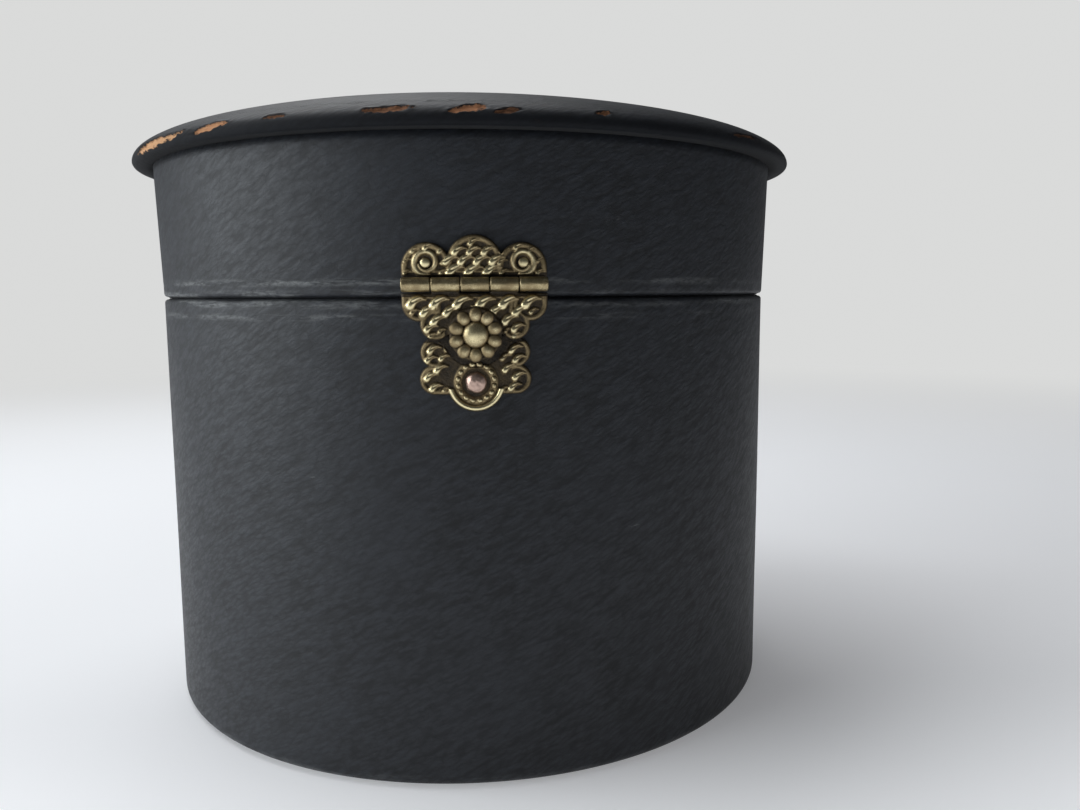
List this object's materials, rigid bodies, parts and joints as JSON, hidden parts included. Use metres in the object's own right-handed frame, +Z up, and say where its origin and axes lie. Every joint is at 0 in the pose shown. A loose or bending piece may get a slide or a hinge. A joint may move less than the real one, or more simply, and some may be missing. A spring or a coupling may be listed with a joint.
{
  "type": "collar box",
  "caption": "Round covered collar box with a hinged padded lid, stamped brass front clasp, back hinge and a lidded stud cup inside.",
  "frame": {"origin": "centre of the underside, on the table", "axes": "+Z up, -Y towards the clasp at the front, +X to the right seen from the front"},
  "size_m": [0.176, 0.176, 0.1549],
  "materials": {
    "pasteboard": "dry laminated board",
    "leatherette": "fine grained blue-black leatherette, dull sheen, rubbed at the seam",
    "lid_leatherette": "fine grained blue-black leatherette, flaked to tan board along the lip",
    "base_paper": "dark matt paper",
    "satin_lining": "aged champagne satin",
    "satin_cup": "aged gold satin",
    "wadding": "cotton wadding",
    "aged_brass": "stamped brass with dark recesses and worn yellow highlights",
    "plain_brass": "dull brass",
    "copper_rivet": "pinkish domed rivet"
  },
  "bodies": {
    "base": {"body_board": "pasteboard", "body_cover": "leatherette", "base_board": "pasteboard", "base_paper": "base_paper", "body_lining": "satin_lining", "floor_pad": "satin_lining", "cup_base": "pasteboard", "cup_wall": "pasteboard", "cup_cover": "satin_cup", "cup_lining": "satin_cup", "cup_floor_pad": "satin_cup", "catch_plate": "aged_brass", "catch_stud": "plain_brass", "catch_rivet": "copper_rivet", "hinge_body_leaf": "plain_brass", "hinge_body_rivets": "plain_brass", "hinge_pin": "plain_brass"},
    "lid": {"lid_board": "pasteboard", "lid_cover": "leatherette", "lid_top_board": "pasteboard", "lid_crown_pad": "wadding", "lid_top_cover": "lid_leatherette", "lid_lining": "satin_lining", "lid_ceiling_pad": "satin_lining", "hinge_lid_leaf": "plain_brass", "hinge_lid_rivets": "plain_brass", "clasp_plate": "aged_brass", "clasp_nails": "aged_brass", "clasp_pin": "plain_brass"},
    "clasp_hasp": {"hasp": "aged_brass"},
    "cup_lid": {"cup_lid_board": "satin_cup", "cup_lid_plug": "pasteboard", "cup_lid_pad": "satin_cup", "cup_lid_knob": "plain_brass"}
  },
  "joints": [
    {"name": "lid_hinge", "type": "hinge", "parent": "base", "child": "lid", "pos_m": [0, 0.0842, 0.1053], "axis": [-1, 0, 0], "range_deg": [0, 105]},
    {"name": "hasp_hinge", "type": "hinge", "parent": "lid", "child": "clasp_hasp", "pos_m": [0, -0.0842, 0.1079], "axis": [-1, 0, 0], "range_deg": [0, 135]},
    {"name": "cup_lid_lift", "type": "slide", "parent": "base", "child": "cup_lid", "axis": [0, 0, 1], "range_m": [0, 0.04]}
  ]
}
